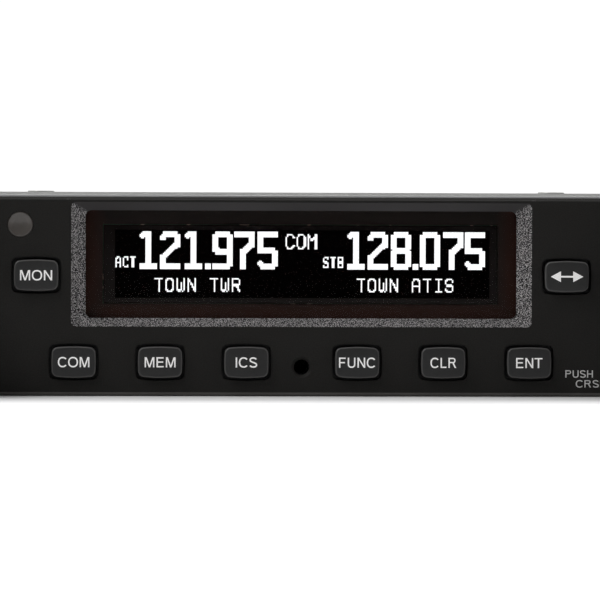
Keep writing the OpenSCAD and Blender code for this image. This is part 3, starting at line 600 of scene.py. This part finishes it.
def patch(points):
    """One flat face with the given outline."""
    return np.asarray(points, float), [list(range(len(points)))]


def box_patch(x0, y0, x1, y1):
    """Flat rectangle."""
    return patch([(x0, y0), (x1, y0), (x1, y1), (x0, y1)])


def glyph(char):
    """Width and flat shapes of a plain upright capital with a cap height of 1."""
    w, h = STEM, STEM / 2
    if char == "M":
        wide, mid = 0.96, 0.48
        return wide, [patch([(0, 0), (w * 0.93, 0), (w * 0.93, 0.8), (mid - 0.075, 0), (mid + 0.075, 0),
                             (wide - w * 0.93, 0.8), (wide - w * 0.93, 0), (wide, 0), (wide, 1), (wide - 0.2, 1),
                             (mid, 0.2), (0.2, 1), (0, 1)])]
    if char == "N":
        wide = 0.79
        return wide, [patch([(0, 0), (w, 0), (w, 0.77), (wide - w - 0.01, 0), (wide, 0), (wide, 1), (wide - w, 1),
                             (wide - w, 0.23), (w + 0.01, 1), (0, 1)])]
    if char == "E":
        return 0.72, [box_patch(0, 0, w, 1), box_patch(w, 0, 0.72, w * 0.9), box_patch(w, 1 - w * 0.9, 0.71, 1),
                      box_patch(w, 0.455, 0.67, 0.455 + w * 0.9)]
    if char == "F":
        return 0.68, [box_patch(0, 0, w, 1), box_patch(w, 1 - w * 0.9, 0.68, 1), box_patch(w, 0.44, 0.6, 0.44 + w * 0.9)]
    if char == "I":
        return w, [box_patch(0, 0, w, 1)]
    if char == "L":
        return 0.62, [box_patch(0, 0, w, 1), box_patch(w, 0, 0.62, w * 0.9)]
    if char == "T":
        return 0.8, [box_patch(0, 1 - w * 0.9, 0.8, 1), box_patch(0.4 - h, 0, 0.4 + h, 1 - w * 0.9)]
    if char == "O":
        return 0.98, [band(oval((0.49, 0.5), (0.49 - h, 0.515 - h), 0, 360, 49)[:-1], closed=True)]
    if char == "C":
        return 0.9, [band(oval((0.47, 0.5), (0.47 - h, 0.515 - h), 38, 322, 40))]
    if char == "U":
        path = [(h, 1)] + oval((0.39, 0.36), (0.39 - h, 0.375 - h), 180, 360, 24).tolist() + [(0.78 - h, 1)]
        return 0.78, [band(path)]
    if char == "S":
        top = oval((0.38, 0.745), (0.36 - h, 0.27 - h), 12, 245, 20)
        low = oval((0.4, 0.255), (0.38 - h, 0.27 - h), 65, -168, 20)
        return 0.78, [band(np.concatenate([top, low]))]
    if char == "V":
        return 0.86, [patch([(0.36, 0), (0.5, 0), (0.86, 1), (0.71, 1), (0.43, 0.17), (0.15, 1), (0, 1)])]
    if char in "PR":
        bowl = [(w, 1 - w * 0.45)] + oval((0.47, 0.735), (0.28 - h, 0.265 - w * 0.45), 90, -90, 18).tolist()
        bowl.append((w, 0.47 + w * 0.45))
        shapes = [box_patch(0, 0, w, 1), band(bowl, w * 0.92)]
        if char == "P":
            return 0.75, shapes
        return 0.82, shapes + [patch([(0.42, 0.47), (0.64, 0), (0.82, 0), (0.59, 0.47)])]
    if char == "H":
        return 0.77, [box_patch(0, 0, w, 1), box_patch(0.77 - w, 0, 0.77, 1),
                      box_patch(w, 0.5 - h * 0.9, 0.77 - w, 0.5 + h * 0.9)]
    raise ValueError(char)


ROUND_SIDES = {"O": 0.055, "C": 0.055, "S": 0.06, "T": 0.02, "V": 0.01}


def lettering(name, words, centre_x, base_z, cap_height, width, y, body, material):
    """Printed word of a given cap height, spaced out evenly to a given width, facing forward at depth y."""
    points, faces, pen, count = [], [], 0.0, 0
    gap = 0.21
    for k, char in enumerate(words):
        wide, shapes = glyph(char)
        if k:
            pen += gap - (0.105 - ROUND_SIDES.get(char, 0.105)) - (0.105 - ROUND_SIDES.get(words[k - 1], 0.105))
        for flat, shape_faces in shapes:
            points.append(flat + (pen, 0))
            faces += [[i + count for i in face] for face in shape_faces]
            count += len(flat)
        pen += wide
    flat = np.concatenate(points)
    x = centre_x + (flat[:, 0] / pen - 0.5) * width
    z = base_z + flat[:, 1] * cap_height
    return piece(name, np.column_stack([x, np.full(len(x), y), z]), faces, material, body, smooth=False)


# ------------------------------------------------------------------ floor, light and camera

def floor():
    """Pale floor just under the case. For the camera only, it glows white away from the case, and the glow fades out
    towards the case as a painted shadow around it; the glow lights the case no more.
    """
    mesh = bpy.data.meshes.new("floor")
    level = -0.05 * MM
    left, right, near, far = -3.0, 3.0, FACE_Y * MM - 0.5, 4.0
    mesh.from_pydata([(left, near, level), (right, near, level), (right, far, level), (left, far, level)],
                     [], [(0, 1, 2, 3)])
    paint = Paint("pale_floor")
    x, y, z = paint.axes()
    beside = paint.node("Math", {"operation": "MAXIMUM"}, {0: x.size() - 80, 1: 0.0})
    along = paint.node("Math", {"operation": "MAXIMUM"}, {0: (y - 5).size() - 131, 1: 0.0})
    # Distance past the case's footprint, in millimetres.
    gap = (beside * beside + along * along) ** 0.5
    cloud = paint.noise(60.0, 2.0)
    base = paint.blend(cloud, (0.84, 0.84, 0.84), (0.88, 0.88, 0.88))
    seen = paint.node("LightPath")
    # Glow seen only by the camera, fading out from 57 mm to 12 mm off the case: a painted shadow around it.
    glow = paint.blend(((gap - 12) * (1 / 45)).clamped() ** 1.2 * seen, (0.0, 0.0, 0.0), (1.0, 1.0, 1.0))
    mesh.materials.append(paint.surface(base, 0.8, emission_color=glow, emission_strength=0.95,
                                        specular_ior_level=0.1))
    made = bpy.data.objects.new("floor", mesh)
    bpy.context.scene.collection.objects.link(made)


def area_light(name, place, aim, size, watts, colour=(1, 1, 1)):
    """Soft rectangular light aimed at a point; all in metres."""
    data = bpy.data.lights.new(name, "AREA")
    data.shape = "RECTANGLE"
    data.size, data.size_y = size
    data.energy = watts
    data.color = colour
    made = bpy.data.objects.new(name, data)
    bpy.context.scene.collection.objects.link(made)
    made.location = place
    made.rotation_euler = (Vector(aim) - Vector(place)).to_track_quat("-Z", "Y").to_euler()
    made.visible_camera = False


def studio():
    """White room as seen by the camera; as a light it is dark in front of the face and pale above and behind."""
    world = bpy.data.worlds.new("studio")
    world.use_nodes = True
    tree = world.node_tree
    tree.nodes.clear()
    links = tree.links
    seen = tree.nodes.new("ShaderNodeLightPath")
    coords = tree.nodes.new("ShaderNodeTexCoord")
    lean = tree.nodes.new("ShaderNodeVectorMath")
    lean.operation = "DOT_PRODUCT"
    lean.inputs[1].default_value = (0.0, 0.35, 0.5)
    ramp = tree.nodes.new("ShaderNodeValToRGB")
    Paint.set_stops(ramp.color_ramp, [(0.0, (0.02, 0.02, 0.02)), (0.45, (0.05, 0.05, 0.05)),
                                      (0.7, (0.4, 0.4, 0.41)), (1.0, (0.7, 0.7, 0.71))])
    shift = tree.nodes.new("ShaderNodeMath")
    shift.operation = "ADD"
    shift.inputs[1].default_value = 0.45
    links.new(coords.outputs["Generated"], lean.inputs[0])
    links.new(lean.outputs["Value"], shift.inputs[0])
    links.new(shift.outputs[0], ramp.inputs[0])
    lit = tree.nodes.new("ShaderNodeBackground")
    lit.inputs["Strength"].default_value = 0.6
    links.new(ramp.outputs[0], lit.inputs["Color"])
    white = tree.nodes.new("ShaderNodeBackground")
    white.inputs["Color"].default_value = (1, 1, 1, 1)
    white.inputs["Strength"].default_value = 1.05
    mix = tree.nodes.new("ShaderNodeMixShader")
    links.new(seen.outputs["Is Camera Ray"], mix.inputs[0])
    links.new(lit.outputs[0], mix.inputs[1])
    links.new(white.outputs[0], mix.inputs[2])
    out = tree.nodes.new("ShaderNodeOutputWorld")
    links.new(mix.outputs[0], out.inputs[0])
    bpy.context.scene.world = world
    front = FACE_Y * MM
    area_light("key_light", (-0.7, front - 0.45, 0.9), (0, front, 0.02), (0.7, 0.5), 5.6)
    area_light("fill_light", (0.85, front - 0.35, 0.45), (0, front, 0.02), (0.5, 0.5), 1.0)
    area_light("top_light", (0.0, 0.3, 1.3), (0, 0, 0), (1.6, 1.2), 9)
    area_light("back_light", (0.3, 1.3, 0.7), (0, 0, 0), (1.2, 0.6), 7)


CAMERA = {"distance": 0.8, "azimuth": -2.5, "elevation": 1.1, "roll": 0.2, "seen_width": 97.45}


def camera():
    """Long lens close to straight on, a little to the left of the face and above it."""
    scene = bpy.context.scene
    data = bpy.data.cameras.new("camera")
    data.sensor_width = 36.0
    data.lens = data.sensor_width * CAMERA["distance"] / (CAMERA["seen_width"] * MM)
    data.clip_start, data.clip_end = 0.05, 60.0
    made = bpy.data.objects.new("camera", data)
    scene.collection.objects.link(made)
    aim = Vector((-0.3 * MM, FACE_Y * MM, 16.12 * MM))
    turn, rise = math.radians(CAMERA["azimuth"]), math.radians(CAMERA["elevation"])
    back = Vector((math.sin(turn) * math.cos(rise), -math.cos(turn) * math.cos(rise), math.sin(rise)))
    made.location = aim + back * CAMERA["distance"]
    made.rotation_euler = (-back).to_track_quat("-Z", "Y").to_euler()
    made.rotation_euler.rotate_axis("Z", math.radians(CAMERA["roll"]))
    scene.camera = made
    scene.view_settings.view_transform = "Standard"


floor()
studio()
camera()


# ------------------------------------------------------------------ keys and their legends

LEGEND_SIZE = {"mon": 5.2, "com": 5.1, "mem": 5.0, "ics": 3.5, "func": 5.95, "clr": 4.2, "ent": 4.3}
LEGEND_CAP = 1.65
TOP_Y = FACE_Y - 1.1


def key_centre(key):
    """Middle of a key's cap."""
    return middle_mm("key_" + key)


def swap_arrows(centre):
    """Double-headed arrow: two solid triangles and a bar between them."""
    reach, head, tall, bar = 2.65, 1.65, 0.88, 0.14
    x, z = centre[0], centre[2]
    outline = [(-reach, 0), (-reach + head, tall), (-reach + head, bar), (reach - head, bar), (reach - head, tall),
               (reach, 0), (reach - head, -tall), (reach - head, -bar), (-reach + head, -bar), (-reach + head, -tall)]
    points = [(x + px, TOP_Y - 0.012, z + pz) for px, pz in outline]
    faces = [[0, 2, 1], [0, 8, 2], [0, 9, 8], [2, 8, 7, 3], [3, 5, 4], [3, 7, 5], [7, 6, 5]]
    faces = [face[::-1] for face in faces]
    piece("legend_swap", points, faces, GLOWING_WHITE_INK, "key_swap", smooth=False)


for key in list(KEYS) + ["swap"]:
    key_cap(key, key_centre(key))
for key, words in KEYS.items():
    centre = key_centre(key)
    lettering("legend_" + key, words, centre[0], centre[2] - LEGEND_CAP / 2, LEGEND_CAP, LEGEND_SIZE[key],
              TOP_Y - 0.012, "key_" + key, GLOWING_WHITE_INK)
swap_arrows(key_centre("swap"))

PRINT_Y = FACE_Y - 0.01
lettering("label_push", "PUSH", 45.25, 3.1, 1.2, 4.5, PRINT_Y, "radio", GREY_INK)
lettering("label_crsr", "CRSR", 47.25, 1.5, 1.2, 5.1, PRINT_Y, "radio", GREY_INK)
lettering("label_volume", "VOL", -63.4, 3.0, 1.2, 3.4, PRINT_Y, "radio", GREY_INK)


# ------------------------------------------------------------------ display

PANEL_Y = span_mm("display_panel")[0][1]
DIGITS = {
    "0": [[(2, 4), (4, 2), (10, 2), (12, 4), (12, 22), (10, 24), (4, 24), (2, 22), (2, 4)]],
    "1": [[(2, 3), (4, 2), (6, 2), (6, 24)], [(2, 24), (10, 24)]],
    "2": [[(2, 4.5), (4, 2), (10, 2), (12, 4), (12, 8.5), (2, 18), (2, 24), (12, 24)]],
    "5": [[(12, 2), (2, 2), (2, 12.7), (10, 12.7), (12, 15), (12, 22), (10, 24), (4, 24), (2, 22)]],
    "7": [[(2, 2), (12, 2), (12, 8.5), (6, 14.5), (6, 24)]],
    "8": [[(3, 12.6), (2, 10), (2, 4), (4, 2), (10, 2), (12, 4), (12, 10), (11, 12.6), (3, 12.6), (2, 15), (2, 22),
           (4, 24), (10, 24), (12, 22), (12, 15), (11, 12.6)]],
    "9": [[(12, 13.7), (4, 13.7), (2, 11.5), (2, 4), (4, 2), (10, 2), (12, 4), (12, 22), (10, 24), (2.5, 24)]],
    ".": [[(2, 24), (2, 24)]],
}
LETTERS = {
    "A": [[(0, 9), (0, 2), (2, 0), (4, 0), (6, 2), (6, 9)], [(0, 5), (6, 5)]],
    "B": [[(0, 0), (4.5, 0), (6, 1.5), (6, 3), (4.5, 4.5), (0, 4.5)],
          [(4.5, 4.5), (6, 6), (6, 7.5), (4.5, 9), (0, 9), (0, 0)]],
    "C": [[(6, 2), (4.5, 0), (1.5, 0), (0, 2), (0, 7), (1.5, 9), (4.5, 9), (6, 7)]],
    "I": [[(1, 0), (5, 0)], [(3, 0), (3, 9)], [(1, 9), (5, 9)]],
    "M": [[(0, 9), (0, 0), (3, 4), (6, 0), (6, 9)]],
    "N": [[(0, 9), (0, 0), (6, 9), (6, 0)]],
    "O": [[(1.5, 0), (4.5, 0), (6, 2), (6, 7), (4.5, 9), (1.5, 9), (0, 7), (0, 2), (1.5, 0)]],
    "R": [[(0, 9), (0, 0), (4.5, 0), (6, 1.5), (6, 3), (4.5, 4.5), (0, 4.5)], [(3, 4.5), (6, 9)]],
    "S": [[(6, 1.5), (4.5, 0), (1.5, 0), (0, 1.5), (0, 3), (1.5, 4.5), (4.5, 4.5), (6, 6), (6, 7.5), (4.5, 9),
           (1.5, 9), (0, 7.5)]],
    "T": [[(0, 0), (6, 0)], [(3, 0), (3, 9)]],
    "W": [[(0, 0), (0, 7.5), (1.5, 9), (3, 7.5), (4.5, 9), (6, 7.5), (6, 0)], [(3, 3.5), (3, 7.5)]],
}


def lit_dots(paths, pen, square):
    """Dots whose middle lies within the pen's radius of a stroke; a square pen draws upright and level strokes."""
    ends = np.array([(*p, *q) for path in paths for p, q in zip(path, path[1:])], float)
    low, high = np.floor(ends.reshape(-1, 2).min(0) - pen), np.ceil(ends.reshape(-1, 2).max(0) + pen)
    i, j = np.meshgrid(np.arange(low[0], high[0]), np.arange(low[1], high[1]), indexing="ij")
    dots = np.stack([i.ravel(), j.ravel()], 1)
    start, run = ends[:, :2], ends[:, 2:] - ends[:, :2]
    away = (dots + 0.5)[:, None] - start[None]
    share = np.clip((away * run).sum(-1) / np.maximum((run ** 2).sum(-1), 1e-9), 0, 1)
    gap = np.abs(away - share[..., None] * run)
    far = np.hypot(gap[..., 0], gap[..., 1])
    if square:
        level = (np.abs(run) < 1e-9).any(1)
        far = np.where(level, gap.max(-1), far * 1.08)
    return dots[(far <= pen).any(1)]


def dot_words(name, glyphs, spots, left, top, dot, pen, scale=(1, 1), square=False):
    """Lit dots of a row of characters, one small square each, laid just in front of the panel."""
    found = []
    for char, spot in spots:
        paths = [[(px * scale[0] + 0.5 * (not square), py * scale[1] + 0.5 * (not square)) for px, py in path]
                 for path in glyphs[char]]
        found.append(lit_dots(paths, pen, square) + (spot, 0))
    dots = np.unique(np.concatenate(found), axis=0)
    side = np.array([(0.04, 0.04), (0.96, 0.04), (0.96, 0.96), (0.04, 0.96)])
    flat = (dots[:, None] + side[None]).reshape(-1, 2) * dot
    points = np.column_stack([left + flat[:, 0], np.full(len(flat), PANEL_Y - 0.06), top - flat[:, 1]])
    faces = np.arange(len(flat)).reshape(-1, 4).tolist()
    piece(name, points, faces, LIT, "radio", smooth=False)


def spaced(words, pitch):
    """Each character of the words with its place in dots; blanks are left out."""
    return [(char, k * pitch) for k, char in enumerate(words) if char != " "]


ACTIVE_MIN, ACTIVE_MAX = (-30.3, 15.85), (30.9, 26.95)
BIG_DOT, SMALL_DOT = 0.2375, 0.226


def display():
    """Black active area and the frequencies in use and in reserve, as dots of light."""
    (x0, z0), (x1, z1) = ACTIVE_MIN, ACTIVE_MAX
    y = PANEL_Y - 0.03
    piece("active_area", [(x0, y, z0), (x1, y, z0), (x1, y, z1), (x0, y, z1)], [(0, 1, 2, 3)], ACTIVE_BLACK, "radio",
          smooth=False)
    places = (0, 14, 31, 45, 50, 65, 81)
    dot_words("active_frequency", DIGITS, list(zip("121.975", places)), -26.32, 26.7, BIG_DOT, 2.0, square=True)
    places = (0, 14, 30, 45, 50, 66, 81)
    dot_words("standby_frequency", DIGITS, list(zip("128.075", places)), 7.6, 26.7, BIG_DOT, 2.0, square=True)
    dot_words("active_mark", LETTERS, spaced("ACT", 5.3), -30.25, 22.6, SMALL_DOT, 0.6, (0.53, 0.8))
    dot_words("standby_mark", LETTERS, spaced("STB", 5.3), 3.64, 22.6, SMALL_DOT, 0.6, (0.53, 0.8))
    dot_words("radio_mark", LETTERS, spaced("COM", 8), -2.5, 26.3, SMALL_DOT, 0.62, (0.92, 1.1))
    dot_words("active_place", LETTERS, spaced("TOWN TWR", 8), -23.9, 19.08, SMALL_DOT, 0.62, (0.88, 1))
    dot_words("standby_place", LETTERS, spaced("TOWN ATIS", 8), 9.15, 19.08, SMALL_DOT, 0.62, (0.88, 1))


display()


# ------------------------------------------------------------------ knobs and the light sensor

def grooved(count, depth, y_front, y_back, least_radius):
    """Finger grooves: depth times a narrow cosine ridge train, faded in over 0.6 mm at both ends of the band."""
    def ripple(r, y, a):
        wave = np.clip(np.cos(count * a), 0, 1) ** 0.8
        band = np.clip((y - y_front) / 0.6, 0, 1) * np.clip((y_back - y) / 0.6, 0, 1)
        return depth * wave * band * (r > least_radius)
    return ripple


def knobs():
    """Volume knob and the two stacked tuning knobs."""
    black = MATERIALS["knob_black"]
    left, right = middle_mm("volume_knob"), middle_mm("inner_tuning_knob")
    band = np.linspace(-13.4, -4.2, 24)
    profile = rounded([(3.05, -2.9), (3.05, -0.8), (8.6, -0.8), (8.6, -3.4), (8.0, -4.1)], 0.25).tolist()
    profile = [(3.02, -12), (3.02, -2.9), (7.6, -2.9), (7.6, -0.8)] + profile[6:]
    side = [(8.0 - 0.35 * (y + 4.2) / -9.2, y) for y in band[::-1]]
    top = rounded([(7.65, -13.4), (7.3, -14.5), (6.4, -14.5), (5.6, -14.1), (0.4, -14.0)], 0.5).tolist()
    turned("knob_volume", profile + side + top[1:], left, 240, black, "volume", "volume_knob",
           grooved(24, 0.42, -13.9, -4.3, 7))
    side = [(11.4 - 0.2 * (y + 3.8) / -4.6, y) for y in np.linspace(-3.8, -8.4, 16)]
    profile = [(3.2, -2.9), (7.6, -2.9), (7.6, -0.8)]
    profile += rounded([(11.5, -0.8), (12, -0.8), (12, -3.0), (11.4, -3.7)], 0.25).tolist()
    top = rounded([(11.2, -8.5), (11.0, -9.4), (10.2, -9.4), (9.2, -9.15), (3.2, -9.1)], 0.45).tolist()
    turned("knob_tuning_outer", profile + side + top, right, 288, black, "outer_tuning", "outer_tuning_knob",
           grooved(36, 0.42, -8.9, -3.9, 10.6))
    side = [(7.4 - 0.25 * (y + 13) / -5.8, y) for y in np.linspace(-13.0, -18.4, 18)]
    profile = rounded([(1.62, -10.2), (7.8, -10.2), (7.8, -12.0), (7.4, -12.7)], 0.25).tolist()
    top = rounded([(7.15, -18.5), (6.9, -19.6), (6.0, -19.6), (5.2, -19.25), (0.4, -19.15)], 0.5).tolist()
    turned("knob_tuning_inner", profile + side + top, right, 240, black, "inner_tuning", "inner_tuning_knob",
           grooved(24, 0.4, -19.0, -13.0, 6.6))
    y = FACE_Y - 14.13
    points = [(left[0] - 0.3, y, left[2] + 2.6), (left[0] + 0.3, y, left[2] + 2.6), (left[0] + 0.3, y, left[2] + 5.3),
              (left[0] - 0.3, y, left[2] + 5.3)]
    piece("pointer_volume", points, [(0, 1, 2, 3)], GLOWING_WHITE_INK, "volume", smooth=False)


def light_window():
    """Smoked window with a shallow dish and a rounded edge."""
    centre = middle_mm("light_sensor_window")
    profile = rounded([(0.15, 5.4), (2.12, 5.4), (2.12, 3.2), (2.8, 3.2), (2.8, 2.4), (2.12, 2.4), (2.12, 0.2),
                       (1.9, 0.05), (1.2, 0.26), (0.15, 0.36)], 0.12)
    turned("window_light_sensor", profile, centre, 72, MATERIALS["light_pipe"], "radio", "light_sensor_window")


knobs()
light_window()


# ------------------------------------------------------------------ case and connectors

EDGES = {"front_bezel": ("bezel_moulding", 0.2, 3), "front_plate": ("plate_front", 0.2, 2),
         "chassis": ("case_chassis", 0.12, 2), "top_cover": ("case_cover", 0.12, 2),
         "rear_panel": ("case_rear", 0.15, 2), "heat_sink": ("cooler_rear", 0.2, 2),
         "case_screws": ("screws_case", 0.1, 2), "data_connector_shell": ("shell_data", 0.12, 2),
         "data_connector_insert": ("insert_data", 0.08, 2), "jack_posts": ("posts_data", 0.12, 2),
         "antenna_jack": ("jack_antenna", 0.12, 2), "data_plate": ("label_data", 0.06, 2),
         "bushing_nuts": ("nuts_bushing", 0.15, 2)}
for node, (name, width, segments) in EDGES.items():
    finished(node, name, width, segments)
